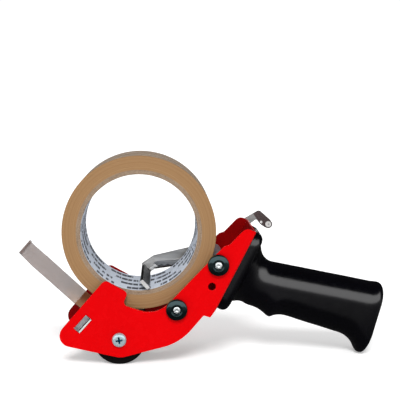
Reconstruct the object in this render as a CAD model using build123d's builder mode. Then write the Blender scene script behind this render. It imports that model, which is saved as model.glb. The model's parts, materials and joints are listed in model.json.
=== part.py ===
from build123d import *
from math import atan2, cos, degrees, hypot, radians, sin
import os

# Hand-held packing tape dispenser. Millimetres, +Z up, +X towards the handle, -Y is the near side.
# It stands on its front roller and on the toe of its handle. The origin is the bottom centre of
# its bounding box. Side-view sizes below are measured from the tape roll's axis along X and from
# the ground along Z, and widths from the tape's middle plane.

os.makedirs("parts", exist_ok=True)

# --- Driving dimensions -------------------------------------------------------------------------
TAPE_WIDTH = 50.0
CORE_BORE_R, CORE_R, ROLL_R = 38.1, 41.0, 50.25
ROLL_Z = 87.45

SHEET_T = 1.5                          # frame sheet
INNER_Y = 28.0                         # half the gap between the side plates
OUTER_Y = INNER_Y + SHEET_T
# Outside the far plate, on the upper axle: washer, brake arm, spring and cap.
ARM_NEAR, ARM_T = OUTER_Y + 0.6, 2.0
SPRING_NEAR, SPRING_LENGTH = ARM_NEAR + ARM_T + 0.3, 4.8
FAR_CAP_Y = SPRING_NEAR + SPRING_LENGTH + 0.3
CAP_R, CAP_T = 7.05, 3.8

ROLL_X = -44.03                        # the roll's axis, from the middle of the whole length
MID_Y = (OUTER_Y - FAR_CAP_Y) / 2      # the tape's middle plane, from the middle of the whole width

FRONT_X, FRONT_R = -13.3, 17.6         # front roller, which stands on the ground
LOWER_X, LOWER_Z = 24.25, 37.45        # support rollers under the tape roll
UPPER_X, UPPER_Z = 51.5, 66.65
SUPPORT_R = 5.0
FREE_HOLE_X, FREE_HOLE_Z, FREE_HOLE_R = 47.3, 52.4, 2.6

RUN = 0.05                             # radial clearance of every running fit
GAP = 0.5                              # side clearance of every turning piece

WEB_FOOT_X, WEB_FOOT_Z = 50.3, 37.1    # lower end of the web's outer face
WEB_LENGTH, WEB_ANGLE = 56.9, 62.8     # the web leans back, degrees from level


def side(y):
    """Side-view sketching plane at a given width. It extrudes towards the near side."""
    return Plane(origin=(ROLL_X, MID_Y + y, 0), x_dir=(1, 0, 0), z_dir=(0, -1, 0))


def on_web(u, v):
    """Side-view point u up the web from its foot and v out of its outer face."""
    a = radians(WEB_ANGLE)
    return (WEB_FOOT_X + u * cos(a) + v * sin(a), WEB_FOOT_Z + u * sin(a) - v * cos(a))


def web_plane(v):
    """Plane parallel to the web, v out of its outer face. Its x runs up the web."""
    x, z = on_web(0, v)
    a = radians(WEB_ANGLE)
    return Plane(origin=(ROLL_X + x, MID_Y, z), x_dir=(cos(a), 0, sin(a)), z_dir=(sin(a), 0, -cos(a)))


def circles(piece, radius):
    """The piece's circular edges of one radius."""
    return [e for e in piece.edges().filter_by(GeomType.CIRCLE) if abs(e.radius - radius) < 0.01]


def turned(x, z, *rings):
    """Round piece about a cross axis, made of rings (outer radius, bore radius, near y, far y)."""
    with BuildPart() as piece:
        for outer, bore, near, far in rings:
            with BuildSketch(side(far)):
                with Locations((x, z)):
                    Circle(outer)
                    if bore:
                        Circle(bore, mode=Mode.SUBTRACT)
            extrude(amount=far - near)
    return piece


# --- Frame channel --------------------------------------------------------------------------------
# Side plate outline: (x, z, corner radius), from the nose round by the hook, the roll's bay, the
# straight front edge and the top, then down the bend and back along the lower edge.
PLATE_CORNERS = [
    (-58.4, 16.0, 7.4),
    (-22.4, 57.2, 3.6),
    (-7.6, 48.9, 2.8),
    (-10.9, 40.6, 3.0),
    (11.2, 33.2, 18.0),
    (55.3, 78.9, 4.0),
    (58.7, 79.8, 4.0),
    (69.7, 91.0, 5.0),
    (*on_web(WEB_LENGTH, 0), 0.4),
    (*on_web(0, 0), 0.6),
    (46.2, 31.8, 0.8),
    (41.9, 33.2, 1.2),
    (26.3, 15.1, 35.0),
    (-12.5, 5.4, 12.0),
]
SLOT_X, SLOT_Z, SLOT_ANGLE = -36.9, 28.2, 47.7
SLOT_LENGTH, SLOT_WIDTH = 12.2, 5.2
AXLE_R, SCREW_R, SCREW_CLEAR = 2.5, 2.5, 0.1
SPRING_HOLE_X, SPRING_HOLE_Z, SPRING_HOLE_R = 45.2, 56.6, 0.8
HANDLE_SCREWS_U = (14.0, 40.0)
BEND_R, BAY_DEPTH = 2.0, 160.0        # BAY_DEPTH reaches well past the nose

with BuildPart() as frame_channel:
    with BuildSketch(side(OUTER_Y)):
        with BuildLine():
            FilletPolyline(
                *[(x, z) for x, z, r in PLATE_CORNERS],
                radius=[r for x, z, r in PLATE_CORNERS],
                close=True,
            )
        make_face()
    extrude(amount=2 * OUTER_Y)
    # Both folds are rounded: the blank stays inside a long bar with round edges along the web.
    foot_x, foot_z = on_web(0, 0)
    lean_x, lean_z = cos(radians(WEB_ANGLE)), sin(radians(WEB_ANGLE))
    foot = (ROLL_X + foot_x, MID_Y, foot_z)
    with BuildSketch(Plane(origin=foot, x_dir=(lean_z, 0, -lean_x), z_dir=(lean_x, 0, lean_z))):
        with Locations((-BAY_DEPTH / 2, 0)):
            RectangleRounded(BAY_DEPTH, 2 * OUTER_Y, BEND_R)
    extrude(amount=BAY_DEPTH, both=True, mode=Mode.INTERSECT)
    with BuildSketch(side(INNER_Y)):
        with BuildLine():
            Polyline(
                on_web(WEB_LENGTH + 20, -SHEET_T),
                on_web(0, -SHEET_T),
                on_web(0, 15),
                on_web(-40, 15),
                (-80, 0),
                (-80, 100),
                close=True,
            )
        make_face()
    extrude(amount=2 * INNER_Y, mode=Mode.SUBTRACT)
    with BuildSketch(side(OUTER_Y)):
        for x, z, r in (
            (FRONT_X, FRONT_R, SCREW_R + SCREW_CLEAR),
            (LOWER_X, LOWER_Z, AXLE_R),
            (UPPER_X, UPPER_Z, AXLE_R),
            (FREE_HOLE_X, FREE_HOLE_Z, FREE_HOLE_R),
        ):
            with Locations((x, z)):
                Circle(r)
        with Locations(Location((SLOT_X, SLOT_Z), SLOT_ANGLE)):
            Rectangle(SLOT_LENGTH, SLOT_WIDTH)
    extrude(amount=2 * OUTER_Y, mode=Mode.SUBTRACT)
    with BuildSketch(side(OUTER_Y)):
        with Locations((SPRING_HOLE_X, SPRING_HOLE_Z)):
            Circle(SPRING_HOLE_R)
    extrude(amount=SHEET_T, mode=Mode.SUBTRACT)
    with BuildSketch(web_plane(-SHEET_T)):
        with Locations(*[(u, 0) for u in HANDLE_SCREWS_U]):
            Circle(SCREW_R + SCREW_CLEAR)
    extrude(amount=SHEET_T, mode=Mode.SUBTRACT)

# --- Nose: guide bar, blade and rivets ------------------------------------------------------------
BAR_T, BAR_WIDTH, BLADE_T = 3.2, 11.8, 1.1
BAR_MID = 0.9                          # the bar fills the slot's upper side, the blade its lower
BLADE_MID = -1.85
TAB_Y = OUTER_Y + 0.3                  # the tabs stand a little proud of the plates
TOOTH_PITCH, TOOTH_DEPTH, TOOTH_COUNT = 2.5, 1.6, 21
TOOTHED_Y = TOOTH_PITCH * TOOTH_COUNT / 2
TOOTH_ROOT = 9.7                       # from the slot's middle down to the roots of the teeth
RIVET_Y, RIVET_R, RIVET_HEAD_R, RIVET_HEAD_T = 15.0, 1.5, 2.6, 0.8


def slot_point(along, out):
    """Side-view point on the slot's axes, from its middle."""
    a = radians(SLOT_ANGLE)
    return (SLOT_X + along * cos(a) - out * sin(a), SLOT_Z + along * sin(a) + out * cos(a))


def slot_plane(out):
    """Plane of the blade: its x runs across the tape and its y up the slot, away from the nose."""
    x, z = slot_point(0, out)
    a = radians(SLOT_ANGLE)
    return Plane(origin=(ROLL_X + x, MID_Y, z), x_dir=(0, 1, 0), z_dir=(sin(a), 0, -cos(a)))


with BuildPart() as tape_guide_bar:
    with BuildSketch(side(TAB_Y)):
        with Locations(Location(slot_point(0, BAR_MID), SLOT_ANGLE)):
            RectangleRounded(BAR_WIDTH, BAR_T, 0.5)
    extrude(amount=2 * TAB_Y)
    with BuildSketch(slot_plane(BAR_MID)):
        with Locations((-RIVET_Y, 0), (RIVET_Y, 0)):
            Circle(RIVET_R)
    extrude(amount=BAR_T, both=True, mode=Mode.SUBTRACT)

with BuildPart() as cutter_blade:
    with BuildSketch(slot_plane(BLADE_MID)):
        Rectangle(2 * TAB_Y, BAR_WIDTH - 0.4)
        with BuildLine():
            edge = [(-TOOTHED_Y, 0)]
            for i in range(TOOTH_COUNT):
                start = -TOOTHED_Y + i * TOOTH_PITCH
                edge += [(start, -TOOTH_ROOT), (start + TOOTH_PITCH / 2, -TOOTH_ROOT - TOOTH_DEPTH)]
            edge += [(TOOTHED_Y, -TOOTH_ROOT), (TOOTHED_Y, 0)]
            Polyline(*edge, close=True)
        make_face()
        with Locations((-RIVET_Y, 0), (RIVET_Y, 0)):
            Circle(RIVET_R, mode=Mode.SUBTRACT)
    extrude(amount=BLADE_T / 2, both=True)

BAR_FACE, BLADE_FACE = BAR_MID + BAR_T / 2, BLADE_MID - BLADE_T / 2
with BuildPart() as blade_rivets:
    for y in (-RIVET_Y, RIVET_Y):
        for out, radius, depth in (
            (BAR_FACE + RIVET_HEAD_T, RIVET_HEAD_R, RIVET_HEAD_T),
            (BAR_FACE, RIVET_R, BAR_FACE - BLADE_FACE),
            (BLADE_FACE, RIVET_HEAD_R, RIVET_HEAD_T),
        ):
            with BuildSketch(slot_plane(out)):
                with Locations((y, 0)):
                    Circle(radius)
            extrude(amount=depth)

# --- Front roller ---------------------------------------------------------------------------------
FRONT_AXLE_R, HUB_R = 4.0, 9.0
ROLLER_Y = TAPE_WIDTH / 2 + 0.5
BUSH_R, BUSH_DEPTH, BUSH_FLANGE_R, BUSH_FLANGE_T = 6.5, 8.0, 8.5, 0.4
SPACER_T = 1.6
SCREW_HEAD_R, SCREW_HEAD_T, SCREW_HEAD_ROUND, SCREW_DEPTH = 4.65, 2.8, 1.9, 12.0
RECESS_LENGTH, RECESS_WIDTH, RECESS_DEPTH, RECESS_TURN = 4.8, 1.15, 1.7, 8

front_axle = turned(
    FRONT_X, FRONT_R,
    (FRONT_AXLE_R, SCREW_R, -INNER_Y, -INNER_Y + SCREW_DEPTH),
    (FRONT_AXLE_R, 0, -INNER_Y + SCREW_DEPTH, INNER_Y - SCREW_DEPTH),
    (FRONT_AXLE_R, SCREW_R, INNER_Y - SCREW_DEPTH, INNER_Y),
)
front_axle_spacers = turned(
    FRONT_X, FRONT_R,
    (BUSH_R, FRONT_AXLE_R, -INNER_Y, -INNER_Y + SPACER_T),
    (BUSH_R, FRONT_AXLE_R, INNER_Y - SPACER_T, INNER_Y),
)
front_roller_hub = turned(FRONT_X, FRONT_R, (HUB_R, BUSH_R, -ROLLER_Y, ROLLER_Y))
front_roller_bushes = turned(
    FRONT_X, FRONT_R,
    (BUSH_R, FRONT_AXLE_R + RUN, -ROLLER_Y, -ROLLER_Y + BUSH_DEPTH),
    (BUSH_FLANGE_R, FRONT_AXLE_R + RUN, -ROLLER_Y - BUSH_FLANGE_T, -ROLLER_Y),
    (BUSH_R, FRONT_AXLE_R + RUN, ROLLER_Y - BUSH_DEPTH, ROLLER_Y),
    (BUSH_FLANGE_R, FRONT_AXLE_R + RUN, ROLLER_Y, ROLLER_Y + BUSH_FLANGE_T),
)
with BuildPart() as front_roller_tyre:
    with BuildSketch(side(ROLLER_Y)):
        with Locations((FRONT_X, FRONT_R)):
            Circle(FRONT_R)
            Circle(HUB_R, mode=Mode.SUBTRACT)
    extrude(amount=2 * ROLLER_Y)
    fillet(circles(front_roller_tyre, FRONT_R), radius=0.8)

with BuildPart() as front_axle_screws:
    for face in (-1, 1):
        outward = Plane(
            origin=(ROLL_X + FRONT_X, MID_Y + face * OUTER_Y, FRONT_R), x_dir=(1, 0, 0), z_dir=(0, face, 0)
        )
        with BuildSketch(outward):
            Circle(SCREW_R)
        extrude(amount=-(SCREW_DEPTH + SHEET_T - 1))
        with BuildSketch(outward):
            Circle(SCREW_HEAD_R)
        extrude(amount=SCREW_HEAD_T)
        top = MID_Y + face * (OUTER_Y + SCREW_HEAD_T)
        rim = [e for e in circles(front_axle_screws, SCREW_HEAD_R) if abs(e.arc_center.Y - top) < 0.01]
        fillet(rim, radius=SCREW_HEAD_ROUND)
        with BuildSketch(outward.offset(SCREW_HEAD_T)):
            for turn in (RECESS_TURN, RECESS_TURN + 90):
                with Locations(Location((0, 0), turn)):
                    SlotOverall(RECESS_LENGTH, RECESS_WIDTH)
        extrude(amount=-RECESS_DEPTH, taper=12, mode=Mode.SUBTRACT)

# --- Support rollers --------------------------------------------------------------------------------
AXLE_PROUD = CAP_T - 0.6               # how far an axle's ends stand out past its caps' inner faces
CAP_RISE, CAP_SLOPE, CAP_ROUND = 0.8, 76.0, 0.7
CAP_DISH_R, CAP_DISH = 3.6, 0.7
WASHER_R, WASHER_T = 6.0, 0.5


def support_axle(x, z, far_cap):
    """Axle with crowned ends that show in its two caps. The far cap starts at far_cap."""
    with BuildPart() as axle:
        with BuildSketch(side(far_cap + AXLE_PROUD)):
            with Locations((x, z)):
                Circle(AXLE_R)
        extrude(amount=far_cap + OUTER_Y + 2 * AXLE_PROUD)
        chamfer(axle.edges().filter_by(GeomType.CIRCLE), length=0.5)
    return axle


def axle_caps(x, z, far_cap):
    """Two push-on caps, one outside each side plate. Each face rises to a dish round the axle."""
    with BuildPart() as caps:
        for face, start in ((-1, -OUTER_Y), (1, far_cap)):
            outward = Plane(origin=(ROLL_X + x, MID_Y + start, z), x_dir=(1, 0, 0), z_dir=(0, face, 0))
            with BuildSketch(outward):
                Circle(CAP_R)
            extrude(amount=CAP_T - CAP_RISE)
            with BuildSketch(outward.offset(CAP_T - CAP_RISE)):
                Circle(CAP_R)
            extrude(amount=CAP_RISE, taper=CAP_SLOPE)
            with BuildSketch(outward.offset(CAP_T)):
                Circle(CAP_DISH_R)
            extrude(amount=-CAP_DISH, taper=35, mode=Mode.SUBTRACT)
            with BuildSketch(outward):
                Circle(AXLE_R)
            extrude(amount=CAP_T, mode=Mode.SUBTRACT)
        fillet(circles(caps, CAP_R), radius=CAP_ROUND)
    return caps


def support_sleeve(x, z):
    """Plain sleeve that turns on its axle and carries the tape roll."""
    return turned(x, z, (SUPPORT_R, AXLE_R + RUN, -INNER_Y + GAP, INNER_Y - GAP))


lower_axle = support_axle(LOWER_X, LOWER_Z, OUTER_Y)
lower_axle_caps = axle_caps(LOWER_X, LOWER_Z, OUTER_Y)
lower_roller_sleeve = support_sleeve(LOWER_X, LOWER_Z)
upper_axle = support_axle(UPPER_X, UPPER_Z, FAR_CAP_Y)
upper_axle_caps = axle_caps(UPPER_X, UPPER_Z, FAR_CAP_Y)
upper_roller_sleeve = support_sleeve(UPPER_X, UPPER_Z)
arm_washer = turned(UPPER_X, UPPER_Z, (WASHER_R, AXLE_R, OUTER_Y, OUTER_Y + WASHER_T))

# --- Tape roll --------------------------------------------------------------------------------------
tape_core = turned(0, ROLL_Z, (CORE_R, CORE_BORE_R, -TAPE_WIDTH / 2, TAPE_WIDTH / 2))
tape_winding = turned(0, ROLL_Z, (ROLL_R, CORE_R, -TAPE_WIDTH / 2, TAPE_WIDTH / 2))

# --- Tape leader ------------------------------------------------------------------------------------
# The film leaves the bottom of the roll, passes over the front roller, turns at the upper corner
# of the guide bar and stands out about square to the bar. Its last few millimetres are folded over.
FILM_T, FILM_CLEAR = 0.3, 0.5
LEADER_LENGTH, LEADER_ANGLE, HEM_LENGTH, HEM_T = 58.9, 136.9, 3.0, 1.1
corner_x, corner_z = slot_point(BAR_WIDTH / 2 + 0.45, BAR_MID + BAR_T / 2 + 0.1)
film_r = ROLL_R + FILM_CLEAR
run_length = (corner_x**2 + (ROLL_Z - corner_z) ** 2 - film_r**2) ** 0.5
rise = atan2(ROLL_Z - corner_z, -corner_x) - atan2(film_r, run_length)
roll_off = (corner_x + run_length * cos(rise), corner_z + run_length * sin(rise))
lean = radians(LEADER_ANGLE)
tip = (corner_x + LEADER_LENGTH * cos(lean), corner_z + LEADER_LENGTH * sin(lean))
hem = (tip[0] - HEM_LENGTH * cos(lean), tip[1] - HEM_LENGTH * sin(lean))

with BuildPart() as tape_leader:
    with BuildSketch(side(TAPE_WIDTH / 2)):
        with BuildLine():
            FilletPolyline(roll_off, (corner_x, corner_z), tip, radius=3.0)
        trace(line_width=FILM_T)
        with BuildLine() as fold:
            Line(hem, tip)
        trace(fold.line, line_width=HEM_T)
    extrude(amount=TAPE_WIDTH)

# --- Brake arm --------------------------------------------------------------------------------------
# A steel stamping outside the far plate: a strap from the pivot to the core, folded into a bar
# that lies across the inside of the core, and a thumb lever that turns down past the web's top.
BAR_TOP, BAR_FOOT, CROSS_T = (1.2, 56.3), (6.0, 50.9), 2.4
CROSS_NEAR = -TAPE_WIDTH / 2 - 2.0
ARM_BOSS_R = 6.3
FRONT_STRAP = [
    (0.2, 56.9, 0.6), (8.8, 62.7, 5.0), (50.2, 72.2, 0.4), (52.2, 60.4, 0.4),
    (25.7, 58.8, 8.0), (11.6, 57.9, 3.5), (7.0, 51.4, 0.6), (5.4, 50.5, 0.4),
]
LEVER = [
    (48.0, 71.8, 0.4), (73.9, 89.2, 3.0), (83.9, 95.0, 2.6), (93.2, 86.6, 2.2),
    (89.0, 81.9, 2.0), (84.6, 85.0, 1.0), (81.8, 88.6, 1.0), (78.4, 86.2, 3.0), (56.3, 62.6, 0.4),
]
PIN_X, PIN_Z, PIN_R, LEVER_END_R = 90.3, 84.9, 2.2, 2.9
# The strap's lower edge is folded in towards the roll. The fold is deepest beside the cross bar,
# where its cut end shows: (x, lower edge z, depth).
FOLD_STATIONS = [(9.0, 57.9, 3.8), (30.5, 59.1, 2.0)]
FOLD_END = [(5.7, 54.5), (9.6, 57.6), (11.8, 55.9), (7.9, 52.6)]

with BuildPart() as brake_arm:
    with BuildSketch(side(ARM_NEAR + ARM_T)):
        for corners in (FRONT_STRAP, LEVER):
            with BuildLine():
                FilletPolyline(
                    *[(x, z) for x, z, r in corners], radius=[r for x, z, r in corners], close=True
                )
            make_face()
        with Locations((UPPER_X, UPPER_Z)):
            Circle(ARM_BOSS_R)
        with Locations((PIN_X, PIN_Z)):
            Circle(LEVER_END_R)
    extrude(amount=ARM_T)
    with BuildSketch(side(ARM_NEAR + ARM_T)):
        bar_length = hypot(BAR_FOOT[0] - BAR_TOP[0], BAR_FOOT[1] - BAR_TOP[1])
        bar_angle = degrees(atan2(BAR_FOOT[1] - BAR_TOP[1], BAR_FOOT[0] - BAR_TOP[0]))
        middle = ((BAR_TOP[0] + BAR_FOOT[0]) / 2, (BAR_TOP[1] + BAR_FOOT[1]) / 2)
        with Locations(Location(middle, bar_angle)):
            RectangleRounded(bar_length, CROSS_T, 0.5)
    extrude(amount=ARM_NEAR + ARM_T - CROSS_NEAR)
    with BuildSketch(side(ARM_NEAR + ARM_T)):
        Polygon(*FOLD_END, align=None)
    extrude(amount=5.4)
    for x, z, depth in FOLD_STATIONS:
        station = Plane(origin=(ROLL_X + x, MID_Y + ARM_NEAR, z), x_dir=(0, 1, 0), z_dir=(1, 0, 0))
        drop = 0.8 * depth
        with BuildSketch(station):
            Polygon((1.6, 1.2), (0, 1.2), (-depth, -drop), (1.2 - depth, -drop - 1.2), align=None)
    loft()
    with BuildSketch(side(ARM_NEAR + ARM_T)):
        with Locations((UPPER_X, UPPER_Z)):
            Circle(AXLE_R + RUN)
        with Locations((PIN_X, PIN_Z)):
            Circle(PIN_R)
    extrude(amount=ARM_T, mode=Mode.SUBTRACT)

thumb_pin = turned(
    PIN_X, PIN_Z,
    (PIN_R, 0, ARM_NEAR - 0.6, ARM_NEAR + ARM_T),
    (LEVER_END_R, 0, ARM_NEAR + ARM_T, FAR_CAP_Y + CAP_T - 0.5),
)

# --- Arm spring -------------------------------------------------------------------------------------
# The near leg hooks over the strap, and the far leg goes back into the far side plate.
WIRE_R, COIL_R, COIL_TURNS = 0.5, 4.4, 3.4
HOOK_X, HOOK_Z = 40.0, 71.2


def world(x, y, z):
    """A side-view point at a given width, in the part's own frame."""
    return Vector(ROLL_X + x, MID_Y + y, z)


with BuildPart() as arm_spring:
    with BuildLine() as coil:
        coil_length = SPRING_LENGTH - 2 * WIRE_R
        Helix(
            pitch=coil_length / COIL_TURNS,
            height=coil_length,
            radius=COIL_R,
            center=world(UPPER_X, SPRING_NEAR + WIRE_R, UPPER_Z),
            direction=(0, 1, 0),
        )
    first, last = coil.line @ 0, coil.line @ 1
    with BuildSketch(Plane(origin=first, z_dir=coil.line % 0)):
        Circle(WIRE_R)
    sweep(path=coil.line, is_frenet=True)
    for start, knee, toe in (
        (first, world(HOOK_X, first.Y - MID_Y, HOOK_Z), world(HOOK_X, ARM_NEAR - 0.1, HOOK_Z)),
        (
            last,
            world(SPRING_HOLE_X, last.Y - MID_Y, SPRING_HOLE_Z),
            world(SPRING_HOLE_X, INNER_Y - 0.3, SPRING_HOLE_Z),
        ),
    ):
        with BuildLine() as leg:
            FilletPolyline(start, knee, toe, radius=1.0)
        with BuildSketch(Plane(origin=start, z_dir=leg.line % 0)):
            Circle(WIRE_R)
        sweep(path=leg.line)

# --- Handle -----------------------------------------------------------------------------------------
FLANGE_LOW_U, FLANGE_HIGH_U, FLANGE_Y = -1.2, 55.9, 24.0
FLANGE_T, FLANGE_CORNER, FLANGE_ROUND = 8.1, 9.0, 4.2
GRIP_ROUND = 0.97                      # corner radius of a grip section over its half width
PILOT_DEPTH = 11.0
# Grip sections from the flange to the butt: (top x, top z, bottom x, bottom z, half width). They
# flare into the flange, pass the finger bump under the grip, and close over the toe and the butt.
GRIP_SECTIONS = [
    (*on_web(52.8, 6.0), *on_web(2.0, 6.0), 21.5),
    (*on_web(49.6, 9.2), *on_web(4.6, 9.2), 19.0),
    (*on_web(46.1, 12.2), *on_web(6.1, 12.2), 17.4),
    (*on_web(42.9, 15.2), *on_web(7.7, 15.2), 16.2),
    (88.3, 63.8, 71.9, 34.5, 15.4),
    (91.5, 63.0, 77.4, 32.5, 15.1),
    (93.8, 62.5, 80.9, 30.6, 15.0),
    (95.6, 62.2, 83.3, 28.7, 15.0),
    (96.9, 61.9, 85.2, 27.0, 15.0),
    (98.3, 61.6, 87.3, 25.6, 15.0),
    (99.9, 61.3, 89.6, 26.3, 15.0),
    (102.6, 60.7, 93.5, 27.0, 15.0),
    (107.6, 59.7, 99.6, 26.0, 15.0),
    (114.4, 58.3, 107.0, 23.5, 15.0),
    (130.2, 55.0, 121.8, 18.7, 15.0),
    (142.4, 52.5, 133.0, 15.0, 15.0),
    (148.4, 51.2, 138.6, 12.8, 15.0),
    (153.2, 50.2, 142.8, 9.3, 15.0),
    (156.8, 49.4, 145.6, 5.1, 15.0),
    (159.0, 49.1, 147.2, 1.7, 14.9),
    (161.1, 48.9, 149.2, 0.17, 14.7),
    (163.1, 48.5, 151.2, 0.2, 14.2),
    (164.6, 47.6, 152.9, 1.5, 13.3),
    (165.6, 45.8, 154.4, 3.9, 12.0),
    (166.0, 43.2, 155.3, 6.6, 10.6),
]

with BuildPart() as handle_grip:
    with BuildSketch(web_plane(0)):
        with Locations(((FLANGE_LOW_U + FLANGE_HIGH_U) / 2, 0)):
            RectangleRounded(FLANGE_HIGH_U - FLANGE_LOW_U, 2 * FLANGE_Y, FLANGE_CORNER)
    extrude(amount=FLANGE_T)
    outer_face = handle_grip.faces().sort_by(Axis(web_plane(0).origin, web_plane(0).z_dir))[-1]
    fillet(outer_face.edges(), radius=FLANGE_ROUND)
    for top_x, top_z, low_x, low_z, half_width in GRIP_SECTIONS:
        height = hypot(top_x - low_x, top_z - low_z)
        up = ((top_x - low_x) / height, (top_z - low_z) / height)
        section_plane = Plane(
            origin=(ROLL_X + (top_x + low_x) / 2, MID_Y, (top_z + low_z) / 2),
            x_dir=(0, 1, 0),
            z_dir=(up[1], 0, -up[0]),
        )
        with BuildSketch(section_plane):
            RectangleRounded(2 * half_width, height, half_width * GRIP_ROUND)
    loft()
    with BuildSketch(web_plane(0)):
        with Locations(*[(u, 0) for u in HANDLE_SCREWS_U]):
            Circle(SCREW_R)
    extrude(amount=PILOT_DEPTH, mode=Mode.SUBTRACT)

GRIP_WASHER_R, GRIP_WASHER_T = 5.5, 1.0
GRIP_HEAD_R, GRIP_HEAD_T, GRIP_SCREW_DEPTH = 4.2, 2.4, 10.0
with BuildPart() as handle_washers:
    with BuildSketch(web_plane(-SHEET_T)):
        with Locations(*[(u, 0) for u in HANDLE_SCREWS_U]):
            Circle(GRIP_WASHER_R)
            Circle(SCREW_R, mode=Mode.SUBTRACT)
    extrude(amount=-GRIP_WASHER_T)

with BuildPart() as handle_screws:
    with BuildSketch(web_plane(-SHEET_T - GRIP_WASHER_T)):
        with Locations(*[(u, 0) for u in HANDLE_SCREWS_U]):
            Circle(SCREW_R)
    extrude(amount=SHEET_T + GRIP_WASHER_T + GRIP_SCREW_DEPTH)
    with BuildSketch(web_plane(-SHEET_T - GRIP_WASHER_T)):
        with Locations(*[(u, 0) for u in HANDLE_SCREWS_U]):
            Circle(GRIP_HEAD_R)
    extrude(amount=-GRIP_HEAD_T, taper=20)

# --- Write every piece --------------------------------------------------------------------------------
PIECES = {
    "frame_channel": frame_channel,
    "tape_guide_bar": tape_guide_bar,
    "cutter_blade": cutter_blade,
    "blade_rivets": blade_rivets,
    "front_axle": front_axle,
    "front_axle_screws": front_axle_screws,
    "front_axle_spacers": front_axle_spacers,
    "front_roller_tyre": front_roller_tyre,
    "front_roller_hub": front_roller_hub,
    "front_roller_bushes": front_roller_bushes,
    "lower_axle": lower_axle,
    "lower_axle_caps": lower_axle_caps,
    "lower_roller_sleeve": lower_roller_sleeve,
    "upper_axle": upper_axle,
    "upper_axle_caps": upper_axle_caps,
    "upper_roller_sleeve": upper_roller_sleeve,
    "arm_washer": arm_washer,
    "brake_arm": brake_arm,
    "thumb_pin": thumb_pin,
    "arm_spring": arm_spring,
    "handle_grip": handle_grip,
    "handle_screws": handle_screws,
    "handle_washers": handle_washers,
    "tape_core": tape_core,
    "tape_winding": tape_winding,
    "tape_leader": tape_leader,
}
for label, piece in PIECES.items():
    piece.part.label = label
    export_step(piece.part, f"parts/{label}.step")
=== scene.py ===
import json
import math

import bmesh
import bpy
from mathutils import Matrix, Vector, noise


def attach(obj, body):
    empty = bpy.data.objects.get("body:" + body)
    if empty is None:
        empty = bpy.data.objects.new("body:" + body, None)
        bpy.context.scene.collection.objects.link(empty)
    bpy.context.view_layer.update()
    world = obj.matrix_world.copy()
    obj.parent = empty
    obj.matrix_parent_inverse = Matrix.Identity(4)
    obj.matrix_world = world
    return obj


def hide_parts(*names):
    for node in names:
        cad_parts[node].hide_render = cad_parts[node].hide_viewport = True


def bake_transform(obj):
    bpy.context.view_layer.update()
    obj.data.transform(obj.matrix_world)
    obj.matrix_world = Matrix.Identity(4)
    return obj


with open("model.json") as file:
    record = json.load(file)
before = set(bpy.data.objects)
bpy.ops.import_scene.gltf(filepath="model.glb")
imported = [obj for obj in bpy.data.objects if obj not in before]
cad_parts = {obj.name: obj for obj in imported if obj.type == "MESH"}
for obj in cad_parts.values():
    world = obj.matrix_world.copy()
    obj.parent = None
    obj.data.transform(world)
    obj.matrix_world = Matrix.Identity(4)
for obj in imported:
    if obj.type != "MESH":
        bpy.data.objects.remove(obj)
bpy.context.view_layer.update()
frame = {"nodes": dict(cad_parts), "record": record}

# Hand-held packing tape dispenser. Sizes are in millimetres, measured as in the CAD source: x from
# the tape roll's axis, y from the tape's middle plane and z from the ground.
MM = 0.001
ROLL_X, MID_Y, ROLL_Z = -44.03, -4.0, 87.45
CORE_BORE_R, CORE_R, ROLL_R, TAPE_HALF = 38.1, 41.0, 50.25, 25.0
OUTER_Y, FAR_CAP_Y, CAP_T, CAP_R, AXLE_R = 29.5, 37.5, 3.8, 7.05, 2.5
FRONT_X, FRONT_R = -13.3, 17.6
LOWER, UPPER = (24.25, 37.45), (51.5, 66.65)
SUPPORT_R, INNER_Y = 5.0, 28.0

record = frame["record"]
BODY_OF = {n: body for body, names in record["behaviour"]["bodies"].items() for n in names}


def place(x, y, z):
    """A point in millimetres, in the row frame in metres."""
    return Vector(((ROLL_X + x) * MM, (MID_Y + y) * MM, z * MM))


# --- Shader nodes ---------------------------------------------------------------------------------
def link(tree, a, b):
    """Links output a to input b."""
    tree.links.new(a, b)


def feed(tree, value, socket):
    """Sets a socket to a number or a colour, or links another socket to it."""
    if isinstance(value, (int, float)):
        socket.default_value = value
    elif isinstance(value, tuple):
        socket.default_value = (*value, 1)
    else:
        link(tree, value, socket)


def shader_of(name, sockets):
    """A new material with its tree and Principled shader, whose constant sockets are set."""
    material = bpy.data.materials.new(name)
    material.use_nodes = True
    tree = material.node_tree
    shader = tree.nodes["Principled BSDF"]
    for socket, value in sockets.items():
        shader.inputs[socket].default_value = value
    return material, tree, shader


def axes(tree, kind="Object"):
    """X, Y and Z of one kind of texture coordinates. Object coordinates are in metres."""
    coord = tree.nodes.new("ShaderNodeTexCoord")
    split = tree.nodes.new("ShaderNodeSeparateXYZ")
    link(tree, coord.outputs[kind], split.inputs[0])
    return split.outputs["X"], split.outputs["Y"], split.outputs["Z"]


def coords(tree, stretch=(1, 1, 1)):
    """Object coordinates in metres, stretched."""
    coord = tree.nodes.new("ShaderNodeTexCoord")
    mapping = tree.nodes.new("ShaderNodeMapping")
    mapping.inputs["Scale"].default_value = stretch
    link(tree, coord.outputs["Object"], mapping.inputs["Vector"])
    return mapping.outputs["Vector"]


def maths(tree, operation, a, b=None):
    """One Math node on sockets or numbers."""
    node = tree.nodes.new("ShaderNodeMath")
    node.operation = operation
    feed(tree, a, node.inputs[0])
    if b is not None:
        feed(tree, b, node.inputs[1])
    return node.outputs[0]


def combined(tree, x, y, z):
    """A vector from three sockets or numbers."""
    node = tree.nodes.new("ShaderNodeCombineXYZ")
    for value, socket in zip((x, y, z), node.inputs):
        feed(tree, value, socket)
    return node.outputs[0]


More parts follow.
